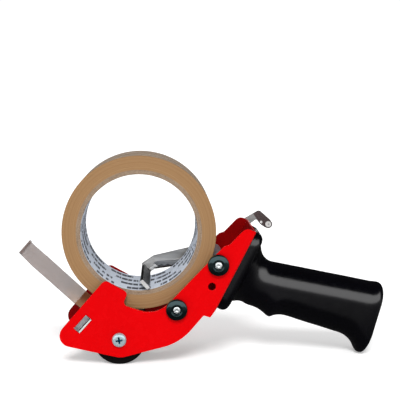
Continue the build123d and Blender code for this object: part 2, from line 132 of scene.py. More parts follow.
def length_of(tree, vector):
    """Length of a vector socket."""
    node = tree.nodes.new("ShaderNodeVectorMath")
    node.operation = "LENGTH"
    link(tree, vector, node.inputs[0])
    return node.outputs["Value"]


def polar(tree):
    """(radius, angle, y) of a turned piece whose object stands on its own axis."""
    x, y, z = axes(tree)
    return length_of(tree, combined(tree, x, 0.0, z)), maths(tree, "ARCTAN2", z, x), y


def noisy(tree, vector, scale, detail=4.0, rough=0.55):
    """Noise texture value at a scale per metre."""
    texture = tree.nodes.new("ShaderNodeTexNoise")
    texture.inputs["Scale"].default_value = scale
    texture.inputs["Detail"].default_value = detail
    texture.inputs["Roughness"].default_value = rough
    link(tree, vector, texture.inputs["Vector"])
    return texture.outputs[0]


def spread(tree, value, low, high, start=0.3, end=0.7):
    """A value from start to end, such as a noise value, mapped to low to high."""
    node = tree.nodes.new("ShaderNodeMapRange")
    node.inputs["From Min"].default_value = start
    node.inputs["From Max"].default_value = end
    node.inputs["To Min"].default_value = low
    node.inputs["To Max"].default_value = high
    link(tree, value, node.inputs["Value"])
    return node.outputs["Result"]


def tones(tree, value, *stops):
    """Colour ramp through stops of (position, colour)."""
    node = tree.nodes.new("ShaderNodeValToRGB")
    elements = node.color_ramp.elements
    while len(elements) < len(stops):
        elements.new(0.5)
    for element, (position, colour) in zip(elements, stops):
        element.position = position
        element.color = (*colour, 1)
    link(tree, value, node.inputs[0])
    return node.outputs["Color"]


def greys(tree, value, *stops):
    """Grey ramp through stops of (position, grey)."""
    return tones(tree, value, *((position, (grey, grey, grey)) for position, grey in stops))


def toned(tree, noise_value, dark, light):
    """Colour that wavers between two tones with a noise value."""
    return tones(tree, noise_value, (0.3, dark), (0.7, light))


def blended(tree, factor, a, b):
    """Two colours, sockets or fixed, mixed by a factor."""
    node = tree.nodes.new("ShaderNodeMix")
    node.data_type = "RGBA"
    link(tree, factor, node.inputs[0])
    feed(tree, a, node.inputs[6])
    feed(tree, b, node.inputs[7])
    return node.outputs[2]


def shader_mix(tree, factor, a, b):
    """Shader a where the factor is 0, b where it is 1."""
    node = tree.nodes.new("ShaderNodeMixShader")
    for value, socket in zip((factor, a, b), node.inputs):
        link(tree, value, socket)
    return node.outputs[0]


def relief(tree, shader, height, depth):
    """Bump of a real depth in metres."""
    node = tree.nodes.new("ShaderNodeBump")
    node.inputs["Distance"].default_value = depth
    node.inputs["Strength"].default_value = 1.0
    link(tree, height, node.inputs["Height"])
    link(tree, node.outputs[0], shader.inputs["Normal"])


def spot(tree, x, z, inner, outer):
    """1 within a round spot of the side view, 0 outside it, in millimetres as in the CAD source."""
    here_x, _, here_z = axes(tree)
    dx = maths(tree, "SUBTRACT", here_x, (ROLL_X + x) * MM)
    dz = maths(tree, "SUBTRACT", here_z, z * MM)
    squares = [maths(tree, "MULTIPLY", d, d) for d in (dx, dz)]
    reach = maths(tree, "SQRT", maths(tree, "ADD", *squares))
    return spread(tree, reach, 1.0, 0.0, inner * MM, outer * MM)


# --- Camera, light and floor ----------------------------------------------------------------------
scene = bpy.context.scene
scene.view_settings.view_transform = "Standard"

CAMERA_AT, CAMERA_LENS, SENSOR = (15.4, -647.18, 180.55), 86.9, 36.0
CAMERA_DOWN, CAMERA_RIGHT = math.radians(6.579), math.radians(2.233)

camera = bpy.data.objects.new("camera", bpy.data.cameras.new("camera"))
camera.data.lens, camera.data.sensor_width = CAMERA_LENS, SENSOR
camera.location = place(*CAMERA_AT)
camera.rotation_euler = (math.radians(90) - CAMERA_DOWN, 0, -CAMERA_RIGHT)
scene.collection.objects.link(camera)
scene.camera = camera

WHITE = (1.0, 1.0, 1.0)
SHINY_STRENGTH, SOFT_STRENGTH, SEEN_STRENGTH = 2.95, 0.50, 1.05
PAPER_GREY, PAPER_GLOW = 0.95, 0.33
UNDER, OUTSIDE = (0.12, 0.03), (0.34, 0.36)     # (metres from the middle, grey) in glossy surfaces
BEHIND_FROM, BEHIND_TO, BEHIND_DIM = 0.02, 0.08, 0.06


def background(tree, colour, strength):
    """Background shader of one strength, in a fixed colour or a socket's."""
    node = tree.nodes.new("ShaderNodeBackground")
    node.inputs["Strength"].default_value = strength
    feed(tree, colour, node.inputs["Color"])
    return node.outputs[0]


def make_world():
    """White to the camera and soft for matt surfaces. Glossy ones see a long softbox in front, a
    pale horizon below it, and dark above it and behind."""
    world = bpy.data.worlds.new("studio")
    world.use_nodes = True
    tree = world.node_tree
    tree.nodes.clear()
    _, y, z = axes(tree, "Generated")
    depth, height = (spread(tree, part, 0.0, 1.0, -1.0, 1.0) for part in (y, z))
    front = greys(
        tree, height, (0.49, 0.16), (0.52, 0.80), (0.60, 1.0), (0.835, 1.0), (0.855, 0.003),
    )
    back = greys(tree, height, (0.50, 0.004), (0.86, 0.006))
    facing = greys(tree, depth, (0.30, 1.0), (0.48, 0.0))
    shiny = background(tree, blended(tree, facing, back, front), SHINY_STRENGTH)
    soft = background(tree, WHITE, SOFT_STRENGTH)
    seen = background(tree, WHITE, SEEN_STRENGTH)
    path = tree.nodes.new("ShaderNodeLightPath")
    unseen = shader_mix(tree, path.outputs["Is Glossy Ray"], soft, shiny)
    whole = shader_mix(tree, path.outputs["Is Camera Ray"], unseen, seen)
    link(tree, whole, tree.nodes.new("ShaderNodeOutputWorld").inputs["Surface"])
    scene.world = world


def distant_softbox(name, azimuth, elevation, angle, strength):
    """A big soft light so far away that it lights the whole floor evenly. Angles are in degrees."""
    data = bpy.data.lights.new(name, "SUN")
    data.angle, data.energy = math.radians(angle), strength
    lamp = bpy.data.objects.new(name, data)
    lamp.rotation_euler = (math.radians(90 - elevation), 0, math.radians(azimuth))
    lamp.visible_glossy = False
    scene.collection.objects.link(lamp)


def make_paper():
    """White paper that glows a little. Glossy surfaces see it darker near the object and darker
    again behind it."""
    paper, tree, shader = shader_of(
        "white_paper",
        {
            "Base Color": (PAPER_GREY, PAPER_GREY, PAPER_GREY, 1), "Roughness": 1.0,
            "Specular IOR Level": 0.0, "Emission Color": (*WHITE, 1),
            "Emission Strength": PAPER_GLOW,
        },
    )
    _, y, _ = axes(tree)
    reach = length_of(tree, coords(tree))
    dim = tree.nodes.new("ShaderNodeEmission")
    link(tree, spread(tree, y, 1.0, BEHIND_DIM, BEHIND_FROM, BEHIND_TO), dim.inputs["Strength"])
    link(tree, greys(tree, reach, UNDER, OUTSIDE), dim.inputs["Color"])
    path = tree.nodes.new("ShaderNodeLightPath")
    both = shader_mix(tree, path.outputs["Is Glossy Ray"], shader.outputs[0], dim.outputs[0])
    link(tree, both, tree.nodes["Material Output"].inputs["Surface"])
    return paper


make_world()
distant_softbox("key", azimuth=-3.0, elevation=42.0, angle=20.0, strength=2.3)

FLOOR_HALF = 30.0
floor_mesh = bpy.data.meshes.new("floor")
floor_mesh.from_pydata(
    [(x * FLOOR_HALF, y * FLOOR_HALF, 0) for x, y in ((-1, -1), (1, -1), (1, 1), (-1, 1))],
    [], [(0, 1, 2, 3)],
)
floor = bpy.data.objects.new("floor", floor_mesh)
scene.collection.objects.link(floor)
floor_mesh.materials.append(make_paper())


# --- Materials ------------------------------------------------------------------------------------
PLAIN = (1, 1, 1)
DRAWN = (1, 0.15, 1)                   # stretches the noise into streaks along the width


def surface(name, dark, light, rough, grain, depth, stretch=PLAIN, cloud=70.0, **sockets):
    """Material with cloudy tone, uneven gloss and a fine grain. Cloud and grain are scales per
    metre and depth is in metres."""
    sockets = {key.replace("_", " "): value for key, value in sockets.items()}
    material, tree, shader = shader_of(name, sockets)
    drawn = coords(tree, stretch)
    cloudy = noisy(tree, drawn, cloud, 5.0)
    link(tree, toned(tree, cloudy, dark, light), shader.inputs["Base Color"])
    gloss = noisy(tree, drawn, cloud * 5, 3.0)
    link(tree, spread(tree, gloss, *rough), shader.inputs["Roughness"])
    relief(tree, shader, noisy(tree, drawn, grain, 3.0), depth)
    return material


def metal(name, dark, light, rough, stretch=PLAIN):
    """Bare metal in two greys, with drawn or brushed streaks where it is stretched."""
    return surface(name, dark, light, rough, 1400.0, 0.00002, stretch, 260.0, Metallic=1.0)


RED_GLOSS = (1.0, 0.10, 0.12, 1)
red_paint = surface(
    "red_paint", (0.58, 0.0003, 0.0012), (0.62, 0.0004, 0.0016), rough=(0.22, 0.32),
    grain=520.0, depth=0.00003, cloud=45.0, Specular_Tint=RED_GLOSS, Specular_IOR_Level=0.3,
)
# Darker red for the inside of the channel: painted shade where the plates and the roll keep the
# light off.
red_painted_shade = surface(
    "red_paint_painted_shade", (0.19, 0.0012, 0.0014), (0.25, 0.0018, 0.0020), rough=(0.34, 0.46),
    grain=700.0, depth=0.00004, cloud=90.0, Specular_Tint=RED_GLOSS, Specular_IOR_Level=0.3,
)


def edge_paint_and_highlight():
    """Paint on the rounded edges of the sheet, with a paler painted highlight where they face up.
    """
    material, tree, shader = shader_of(
        "red_paint_edge", {"Specular IOR Level": 0.5, "Coat Weight": 0.4}
    )
    cloudy = noisy(tree, coords(tree), 160.0, 5.0)
    paint = toned(tree, cloudy, (0.60, 0.004, 0.008), (0.70, 0.008, 0.014))
    # Painted highlight: the edges turn paler pink the more they face up.
    painted_highlight = toned(tree, cloudy, (0.95, 0.22, 0.24), (1.0, 0.42, 0.44))
    _, _, normal_z = axes(tree, "Normal")
    up = spread(tree, normal_z, 0.0, 1.0, 0.05, 0.40)
    link(tree, blended(tree, up, paint, painted_highlight), shader.inputs["Base Color"])
    link(tree, spread(tree, cloudy, 0.20, 0.30), shader.inputs["Roughness"])
    relief(tree, shader, cloudy, 0.00002)
    return material


red_edge = edge_paint_and_highlight()
pin_steel = metal("axle_steel", (0.70, 0.76, 0.76), (0.86, 0.90, 0.90), (0.30, 0.46), DRAWN)
zinc = metal("zinc_steel", (0.42, 0.42, 0.44), (0.66, 0.66, 0.68), (0.26, 0.44), DRAWN)
blade = surface(
    "blade_steel", (0.60, 0.61, 0.60), (0.78, 0.79, 0.78), rough=(0.30, 0.42),
    grain=1400.0, depth=0.00002, stretch=(0.2, 1, 0.2), cloud=260.0,
    Metallic=0.4, Specular_IOR_Level=0.6,
)
screw_zinc = surface(
    "screw_zinc", (0.31, 0.42, 0.46), (0.42, 0.54, 0.58), rough=(0.22, 0.34),
    grain=1400.0, depth=0.00002, cloud=260.0, Metallic=0.35, Specular_IOR_Level=0.6,
)
# Darker zinc for the cross recess: painted shade.
screw_recess_painted_shade = metal("screw_recess_painted_shade", (0.02, 0.16, 0.26), (0.05, 0.28, 0.42), (0.22, 0.34))
arm_cut = surface(
    "arm_steel_cut", (0.42, 0.42, 0.42), (0.60, 0.60, 0.60), rough=(0.30, 0.45),
    grain=1400.0, depth=0.00003, cloud=260.0, Metallic=0.3, Specular_IOR_Level=0.5,
)
arm_edge = metal("arm_steel_edge", (0.16, 0.16, 0.16), (0.30, 0.30, 0.30), (0.25, 0.40))
# Dark steel for the arm's faces inside the channel and turned down: painted shade.
shaded_arm_steel = metal(
    "arm_steel_painted_shade", (0.10, 0.10, 0.10), (0.20, 0.20, 0.20), (0.28, 0.44), DRAWN
)
spring_steel = metal("spring_steel", (0.34, 0.34, 0.36), (0.52, 0.52, 0.54), (0.22, 0.36))
tube_steel = metal(
    "roller_tube", (0.40, 0.40, 0.41), (0.55, 0.55, 0.56), (0.30, 0.44), (1, 0.1, 1)
)
rubber = surface(
    "roller_rubber", (0.0025, 0.0022, 0.0022), (0.005, 0.0045, 0.0045), rough=(0.62, 0.82),
    grain=2600.0, depth=0.00006, Specular_IOR_Level=0.06,
)
nylon = surface(
    "nylon", (0.66, 0.65, 0.60), (0.78, 0.77, 0.72), rough=(0.42, 0.56),
    grain=1800.0, depth=0.00003, Subsurface_Weight=0.1, Subsurface_Scale=0.002,
)
cap_plastic = surface(
    "cap_plastic", (0.0015, 0.003, 0.003), (0.003, 0.006, 0.006), rough=(0.06, 0.14),
    grain=800.0, depth=0.00001, Specular_IOR_Level=0.5, Specular_Tint=(0.62, 0.95, 1.0, 1),
)
sleeve_plastic = surface(
    "sleeve_plastic", (0.16, 0.16, 0.18), (0.24, 0.24, 0.26), rough=(0.36, 0.50),
    grain=1600.0, depth=0.00003, stretch=(1, 0.3, 1),
)
handle_plastic = surface(
    "handle_plastic", (0.0008, 0.0008, 0.0014), (0.0014, 0.0013, 0.0026), rough=(0.15, 0.21),
    grain=3200.0, depth=0.00002, cloud=40.0, Specular_IOR_Level=0.5,
)

# The lever turns down at its fold. Past it are the dimple and the thumb pin.
FOLD_X, FOLD_Z, FOLD_LEAN, FOLD_BLUR = 80.9, 89.8, math.radians(32.0), 0.6
DIMPLE_X, DIMPLE_Z, DIMPLE_R, DIMPLE_BLUR = 85.2, 86.4, 0.7, 0.4
PIN_X, PIN_Z, PIN_END_R = 90.3, 84.9, 2.9


def arm_material():
    """Plated strip with long streaks. Past the lever's fold the thumb piece is painted dark, a
    painted shade, and a small bright spot on it is a painted highlight."""
    material, tree, shader = shader_of("arm_steel", {"Metallic": 1.0})
    streak = noisy(tree, coords(tree, (0.10, 1, 0.6)), 260.0, 5.0)
    plated = toned(tree, streak, (0.24, 0.24, 0.235), (0.46, 0.46, 0.46))
    fine = noisy(tree, coords(tree), 1500.0, 3.0)
    # Painted shade: the dark tone of the thumb piece past the fold.
    dark = toned(tree, fine, (0.060, 0.044, 0.044), (0.13, 0.10, 0.10))
    x, _, z = axes(tree)
    across_fold = (math.cos(FOLD_LEAN), math.sin(FOLD_LEAN))
    fold = (ROLL_X + FOLD_X) * MM * across_fold[0] + FOLD_Z * MM * across_fold[1]
    along, upward = (maths(tree, "MULTIPLY", part, c) for part, c in zip((x, z), across_fold))
    past = maths(tree, "SUBTRACT", maths(tree, "ADD", along, upward), fold)
    painted_fold_shade = blended(tree, spread(tree, past, 0.0, 1.0, 0.0, FOLD_BLUR * MM), plated, dark)
    # Painted highlight: a small bright spot past the fold.
    dimple_highlight = spot(tree, DIMPLE_X, DIMPLE_Z, DIMPLE_R, DIMPLE_R + DIMPLE_BLUR)
    link(tree, blended(tree, dimple_highlight, painted_fold_shade, (0.95, 0.93, 0.92)), shader.inputs["Base Color"])
    link(tree, spread(tree, streak, 0.28, 0.44), shader.inputs["Roughness"])
    relief(tree, shader, fine, 0.00002)
    return material


def pin_material():
    """Bright peened end of the thumb pin, with a dark ring and centre mark."""
    material, tree, shader = shader_of("pin_end", {"Specular IOR Level": 0.6})
    grain = noisy(tree, coords(tree), 900.0, 3.0)
    bright = toned(tree, grain, (0.50, 0.49, 0.48), (0.68, 0.67, 0.66))
    ring = toned(tree, grain, (0.10, 0.09, 0.09), (0.17, 0.16, 0.16))
    face = spot(tree, PIN_X, PIN_Z, PIN_END_R - 1.0, PIN_END_R - 0.6)
    mark = spot(tree, PIN_X + 0.2, PIN_Z, 0.4, 0.9)
    whole = blended(tree, face, ring, bright)
    link(tree, blended(tree, mark, whole, (0.30, 0.29, 0.29)), shader.inputs["Base Color"])
    link(tree, spread(tree, grain, 0.25, 0.40), shader.inputs["Roughness"])
    relief(tree, shader, grain, 0.00003)
    return material


TURN_DRIFT = 0.6                       # how far the film's turns wander off a true circle


def tape_side_material():
    """Edges of the wound film: fine rings of slightly different brown."""
    material, tree, shader = shader_of("tape_side", {"Specular IOR Level": 0.3})
    radius, angle, across = polar(tree)
    round_it = combined(tree, maths(tree, "SINE", angle), maths(tree, "COSINE", angle), across)
    drift = maths(tree, "MULTIPLY", noisy(tree, round_it, 0.8), TURN_DRIFT * MM)
    wander = combined(tree, maths(tree, "ADD", radius, drift), 0.0, across)
    broad = maths(tree, "MULTIPLY", noisy(tree, wander, 900.0, 2.0), 0.6)
    fine = noisy(tree, wander, 5200.0, 2.0, 0.8)
    ring = maths(tree, "ADD", broad, maths(tree, "MULTIPLY", fine, 0.4))
    colour = tones(
        tree, ring,
        (0.34, (0.225, 0.118, 0.046)), (0.46, (0.262, 0.145, 0.061)),
        (0.56, (0.280, 0.160, 0.070)), (0.68, (0.320, 0.190, 0.090)),
    )
    link(tree, colour, shader.inputs["Base Color"])
    link(tree, spread(tree, fine, 0.34, 0.52), shader.inputs["Roughness"])
    relief(tree, shader, ring, 0.00008)
    return material


def tape_face_material():
    """The outermost turn: glossy brown film with long faint streaks."""
    material, tree, shader = shader_of("tape_face", {"Specular IOR Level": 0.25})
    streak = noisy(tree, coords(tree, (1, 8, 1)), 60.0, 5.0)
    colour = toned(tree, streak, (0.46, 0.355, 0.27), (0.56, 0.44, 0.34))
    link(tree, colour, shader.inputs["Base Color"])
    link(tree, spread(tree, streak, 0.18, 0.32), shader.inputs["Roughness"])
    relief(tree, shader, noisy(tree, coords(tree, (1, 4, 1)), 240.0, 3.0), 0.00006)
    return material


def board_material():
    """Grey-brown board of the core: plies at its ends, fibres and a little fluff."""
    material, tree, shader = shader_of("core_board", {"Specular IOR Level": 0.15})
    radius, angle, _ = polar(tree)
    fibre = noisy(tree, coords(tree), 1500.0, 6.0, 0.7)
    layers = combined(tree, radius, maths(tree, "MULTIPLY", angle, 0.0008), 0.0)
    ply = maths(tree, "MULTIPLY", noisy(tree, layers, 3600.0, 2.0), 0.45)
    both = maths(tree, "ADD", maths(tree, "MULTIPLY", fibre, 0.55), ply)
    colour = tones(
        tree, both,
        (0.32, (0.13, 0.085, 0.055)), (0.50, (0.25, 0.18, 0.125)), (0.70, (0.38, 0.30, 0.22)),
    )
    link(tree, colour, shader.inputs["Base Color"])
    link(tree, spread(tree, fibre, 0.80, 0.95), shader.inputs["Roughness"])
    relief(tree, shader, both, 0.00025)
    return material


# Print on the liner: millimetres across the width, radians round the bore.
ROW_PITCH, DASH_HEIGHT, ROW_STAGGER = 12.4, 6.0, 0.113
STRING_PITCH, DASH_PITCH = 0.60, 0.105
STRING_SHARE, DASH_SHARE = 0.72, 0.80  # printed share of each pitch
INK = (0.012, 0.013, 0.022)


def liner_material():
    """Pale liner paper inside the core, printed with rows of plain dashes."""
    material, tree, shader = shader_of("core_liner", {"Specular IOR Level": 0.25})
    _, angle, across = polar(tree)
    fibre = noisy(tree, coords(tree), 900.0, 5.0, 0.6)
    paper_tone = toned(tree, fibre, (0.52, 0.56, 0.63), (0.68, 0.725, 0.80))
    # Four rows across the width. Round each row run strings of short uneven dashes.
    lane = maths(tree, "DIVIDE", maths(tree, "ADD", across, TAPE_HALF * MM), ROW_PITCH * MM)
    index = maths(tree, "FLOOR", lane)
    off_row = maths(tree, "ABSOLUTE", maths(tree, "SUBTRACT", maths(tree, "FRACT", lane), 0.5))
    in_row = maths(tree, "LESS_THAN", off_row, 0.5 * DASH_HEIGHT / ROW_PITCH)
    around = maths(tree, "ADD", angle, maths(tree, "MULTIPLY", index, ROW_STAGGER))
    in_pitch = maths(tree, "FRACT", maths(tree, "DIVIDE", around, STRING_PITCH))
    in_string = maths(tree, "LESS_THAN", in_pitch, STRING_SHARE)
    along_row = combined(tree, maths(tree, "MULTIPLY", around, 6.0), index, 0.0)
    uneven = maths(tree, "MULTIPLY", noisy(tree, along_row, 3.0, 1.0), 2.0)
    beat = maths(tree, "ADD", maths(tree, "DIVIDE", around, DASH_PITCH), uneven)
    dash = maths(tree, "LESS_THAN", maths(tree, "FRACT", beat), DASH_SHARE)
    ink = maths(tree, "MULTIPLY", in_row, maths(tree, "MULTIPLY", in_string, dash))
    worn = maths(tree, "MULTIPLY", ink, spread(tree, fibre, 0.80, 0.97))
    link(tree, blended(tree, worn, paper_tone, INK), shader.inputs["Base Color"])
    link(tree, spread(tree, fibre, 0.55, 0.75), shader.inputs["Roughness"])
    relief(tree, shader, fibre, 0.00005)
    return material


FILM_EDGE, FILM_RIM = 23.6, 24.7       # the film darkens towards its two long edges
ROOT_Z, ROOT_FADE = 33.0, 48.0         # and is browner at its root, over the guide bar
FILM_ROOT_PAINTED_LIGHT, FILM_DARK = (0.80, 0.45, 0.20), (0.12, 0.09, 0.085)


def film_material():
    """Clear brown film, slightly uneven and darker at its long edges. Its free part is painted
    greyer, a painted reflection, and its root a brighter brown, painted light against the shade
    between the plates.
    """
    material, tree, shader = shader_of("tape_film", {"Alpha": 0.58, "Specular IOR Level": 0.15})
    uneven = noisy(tree, coords(tree, (1, 0.3, 1)), 45.0, 2.0)
    plain = toned(tree, uneven, (0.325, 0.240, 0.220), (0.355, 0.265, 0.240))
    _, y, z = axes(tree)
    # Painted light and reflection: brighter brown at the root, greyer further out as painted sheen.
    root = spread(tree, z, 1.0, 0.0, ROOT_Z * MM, ROOT_FADE * MM)
    off_middle = maths(tree, "ABSOLUTE", maths(tree, "SUBTRACT", y, MID_Y * MM))
    rim = spread(tree, off_middle, 0.0, 1.0, FILM_EDGE * MM, FILM_RIM * MM)
    root_and_painted_sheen = blended(tree, root, plain, FILM_ROOT_PAINTED_LIGHT)
    link(tree, blended(tree, rim, root_and_painted_sheen, FILM_DARK), shader.inputs["Base Color"])
    link(tree, spread(tree, uneven, 0.26, 0.38), shader.inputs["Roughness"])
    relief(tree, shader, uneven, 0.00004)
    return material


# --- Building pieces ------------------------------------------------------------------------------
WELD, POLE_WELD = 2e-6, 1e-7           # corners closer than this are one corner, in metres
FLAT_ANGLE, BEVEL_ANGLE = math.radians(0.5), math.radians(35)


def add_piece(name, mesh, nodes, materials, sharp=35.0, at=None, rides=True):
    """Puts a mesh in the scene in place of CAD nodes and on their body. Edges sharper than an angle
    in degrees stay sharp."""
    piece = bpy.data.objects.new(name, mesh)
    if at is not None:
        piece.location = at
    scene.collection.objects.link(piece)
    for material in materials:
        mesh.materials.append(material)
    mesh.polygons.foreach_set("use_smooth", [True] * len(mesh.polygons))
    mesh.set_sharp_from_angle(angle=math.radians(sharp))
    if rides:
        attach(piece, BODY_OF[nodes[0]])
    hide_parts(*nodes)
    return piece


def from_bmesh(name, bm):
    """Mesh of a bmesh, which is freed, with its normals outward."""
    bmesh.ops.recalc_face_normals(bm, faces=bm.faces)
    mesh = bpy.data.meshes.new(name)
    bm.to_mesh(mesh)
    bm.free()
    return mesh


def clean_copy(node):
    """The node's mesh with shared corners and whole flat faces."""
    bm = bmesh.new()
    bm.from_mesh(frame["nodes"][node].data)
    bmesh.ops.remove_doubles(bm, verts=bm.verts, dist=WELD)
    bmesh.ops.dissolve_limit(bm, angle_limit=FLAT_ANGLE, verts=bm.verts, edges=bm.edges)
    return bm


def dressed(name, node, materials, bevel, segments=2, edge_material=-1):
    """Copy of a CAD node with its sharp edges rounded, which stands for it. The rounding has the
    material at an index, or its neighbour's at -1."""
    mesh = from_bmesh(name, clean_copy(node))
    piece = add_piece(name, mesh, [node], materials)
    rounding = piece.modifiers.new("rounding", "BEVEL")
    rounding.width = bevel * MM
    rounding.segments = segments
    rounding.limit_method = "ANGLE"
    rounding.angle_limit = BEVEL_ANGLE
    rounding.harden_normals = True
    rounding.material = edge_material
    return piece


def eased(corners, steps=4):
    """Closed outline of (a, b, radius) corners, each rounded in a number of steps."""
    points = []
    count = len(corners)
    for i, (a, b, radius) in enumerate(corners):
        here = Vector((a, b))
        before = Vector(corners[i - 1][:2]) - here
        after = Vector(corners[(i + 1) % count][:2]) - here
        if radius <= 0 or before.length < 1e-6 or after.length < 1e-6:
            points.append(here)
            continue
        half = before.angle(after) / 2
        reach = min(radius / math.tan(half), before.length / 2, after.length / 2)
        start, end = here + before.normalized() * reach, here + after.normalized() * reach
        for k in range(steps + 1):
            t = k / steps
            points.append(start * (1 - t) ** 2 + here * 2 * t * (1 - t) + end * t**2)
    return points


def turn(outline, segments):
    """Bmesh of a closed (y, radius) outline in millimetres turned about the Y axis."""
    bm = bmesh.new()
    rings = []
    for k in range(segments):
        a = 2 * math.pi * k / segments
        c, s = math.cos(a), math.sin(a)
        rings.append([bm.verts.new((r * c * MM, y * MM, r * s * MM)) for y, r in outline])
    count = len(outline)
    for k in range(segments):
        here, there = rings[k], rings[(k + 1) % segments]
        for i in range(count):
            j = (i + 1) % count
            bm.faces.new((here[i], here[j], there[j], there[i]))
    bmesh.ops.remove_doubles(bm, verts=bm.verts, dist=POLE_WELD)
    return bm


def turned(name, x, z, outlines, nodes, materials, segments, sharp=35.0):
    """A piece of one or more rings on one cross axis."""
    whole = bmesh.new()
    for outline in outlines:
        part = bpy.data.meshes.new("part")
        bm = turn(outline, segments)
        bm.to_mesh(part)
        bm.free()
        whole.from_mesh(part)
        bpy.data.meshes.remove(part)
    return add_piece(name, from_bmesh(name, whole), nodes, materials, sharp, at=place(x, 0, z))


# --- Frame, nose and fasteners --------------------------------------------------------------------
SCREW_HEAD_T, RECESS_R = 2.8, 2.45


def width_of(face):
    """A face's place across the width, in millimetres from the tape's middle plane."""
    return face.center.y / MM - MID_Y


sheet_finishes = [red_paint, red_edge, red_painted_shade]
sheet = dressed(
    "frame_sheet", "frame_channel", sheet_finishes, bevel=0.7, segments=4,
    edge_material=sheet_finishes.index(red_edge),
)
# Inner faces of the plates and the web take the darker red, a painted shade.
for face in sheet.data.polygons:
    y = width_of(face)
    inside_plate = abs(abs(y) - INNER_Y) < 0.05 and face.normal.y * y < 0
    inside_web = abs(y) < INNER_Y - 1 and face.normal.x < -0.5
    if inside_plate or inside_web:
        face.material_index = sheet_finishes.index(red_painted_shade)
dressed("guide_bar", "tape_guide_bar", [zinc], bevel=0.15)
dressed("toothed_blade", "cutter_blade", [blade], bevel=0.06, segments=1)
dressed("rivets", "blade_rivets", [zinc], bevel=0.25, segments=3)
screw_finishes = [screw_zinc, screw_recess_painted_shade]
screws = dressed("roller_screws", "front_axle_screws", screw_finishes, bevel=0.12)
# Faces sunk in the cross recess take the darker zinc, a painted shade.
for face in screws.data.polygons:
    off_axis = face.center - place(FRONT_X, 0, FRONT_R)
    sunk = abs(width_of(face)) < OUTER_Y + SCREW_HEAD_T - 0.1
    if sunk and math.hypot(off_axis.x, off_axis.z) < RECESS_R * MM:
        face.material_index = screw_finishes.index(screw_recess_painted_shade)
dressed("grip_screws", "handle_screws", [screw_zinc], bevel=0.15)

# --- Rollers, axles and caps ----------------------------------------------------------------------
HUB_R, BUSH_R, ROLLER_Y, TYRE_ROUND = 9.0, 6.5, 25.5, 0.9
SLEEVE_Y, SLEEVE_BORE = INNER_Y - 0.5, AXLE_R + 0.05
CAP_RISE, CAP_DISH_R, CAP_DISH = 0.8, 3.6, 0.7
PIN_SUNK = 0.6                         # an axle's end lies this deep in its cap
# Half outlines (depth in from the end, radius, rounding): a cap's top, and an axle's end with its
# centre mark.
CAP_TOP = [
    (CAP_RISE, CAP_R, 1.6), (0, CAP_DISH_R + 0.1, 0.5), (CAP_DISH, AXLE_R + 0.55, 0.3),
    (CAP_DISH, AXLE_R, 0),
]
AXLE_END = [(0.25, 0, 0), (0.12, 0.55, 0.2), (0, 0.9, 0.3), (0.05, 2.15, 0.4), (0.5, AXLE_R, 0.2)]


def tube(half, inner, outer, inner_round=0, outer_round=0, steps=4):
    """Outline of a tube as long as two halves, with rounded ends."""
    near = [(-half, inner, inner_round), (-half, outer, outer_round)]
    far = [(half, outer, outer_round), (half, inner, inner_round)]
    return eased(near + far, steps)


turned(
    "roller_tyre", FRONT_X, FRONT_R, [tube(ROLLER_Y, HUB_R, FRONT_R, 0, TYRE_ROUND)],
    ["front_roller_tyre"], [rubber], segments=160,
)
turned(
    "roller_hub", FRONT_X, FRONT_R, [tube(ROLLER_Y, BUSH_R, HUB_R)],
    ["front_roller_hub"], [tube_steel], segments=96,
)
for label, (cx, cz), far_side in (("lower", LOWER, OUTER_Y), ("upper", UPPER, FAR_CAP_Y)):
    turned(
        label + "_sleeve", cx, cz, [tube(SLEEVE_Y, SLEEVE_BORE, SUPPORT_R, 0.3, 0.4, 2)],
        [label + "_roller_sleeve"], [sleeve_plastic], segments=64,
    )
    caps = []
    for outward, start in ((-1, -OUTER_Y), (1, far_side)):
        tip = start + outward * CAP_T
        top = [(tip - outward * depth, r, rounding) for depth, r, rounding in CAP_TOP]
        caps.append(eased([(start, AXLE_R, 0), (start, CAP_R, 0.25)] + top, 6))
    turned(
        label + "_caps", cx, cz, caps, [label + "_axle_caps"], [cap_plastic],
        segments=112, sharp=60,
    )
    near_end, far_end = -OUTER_Y - (CAP_T - PIN_SUNK), far_side + (CAP_T - PIN_SUNK)
    axle = [(near_end + depth, r, rounding) for depth, r, rounding in AXLE_END]
    axle += [(far_end - depth, r, rounding) for depth, r, rounding in reversed(AXLE_END)]
    turned(
        label + "_pin", cx, cz, [eased(axle, 3)], [label + "_axle"], [pin_steel],
        segments=96, sharp=50,
    )

# --- Tape roll ------------------------------------------------------------------------------------
LINER_ROUND = 0.25
core = turned(
    "core", 0, ROLL_Z, [tube(TAPE_HALF, CORE_BORE_R, CORE_R, LINER_ROUND, 0, 3)],
    ["tape_core"], [board_material(), liner_material()], segments=192,
)
for face in core.data.polygons:
    middle = face.center
    on_bore = math.hypot(middle.x, middle.z) < (CORE_BORE_R + 0.02) * MM
    if on_bore and abs(middle.y) < (TAPE_HALF - 0.3) * MM:
        face.material_index = 1

WINDING_RINGS, WINDING_UNEVEN = 44, 0.16


def winding_side():
    """(depth, radius) of the turns' edges, some a little deeper than their neighbours."""
    points = []
    for i in range(WINDING_RINGS + 1):
        r = CORE_R + (ROLL_R - CORE_R) * i / WINDING_RINGS
        broad = noise.noise(Vector((r * 1.7, 3.1, 0.0))) * 0.5
        step = broad + noise.noise(Vector((r * 6.3, 9.7, 0.0))) * 0.35
        points.append((WINDING_UNEVEN * min(1.0, max(0.0, 0.5 + step)), r))
    return points


winding_outline = [(-TAPE_HALF + depth, r) for depth, r in winding_side()]
winding_outline += [(TAPE_HALF - depth, r) for depth, r in reversed(winding_side())]
winding = turned(
    "winding", 0, ROLL_Z, [winding_outline], ["tape_winding"],
    [tape_side_material(), tape_face_material()], segments=224, sharp=60,
)
for face in winding.data.polygons:
    if abs(face.normal.y) < 0.5:
        face.material_index = 1

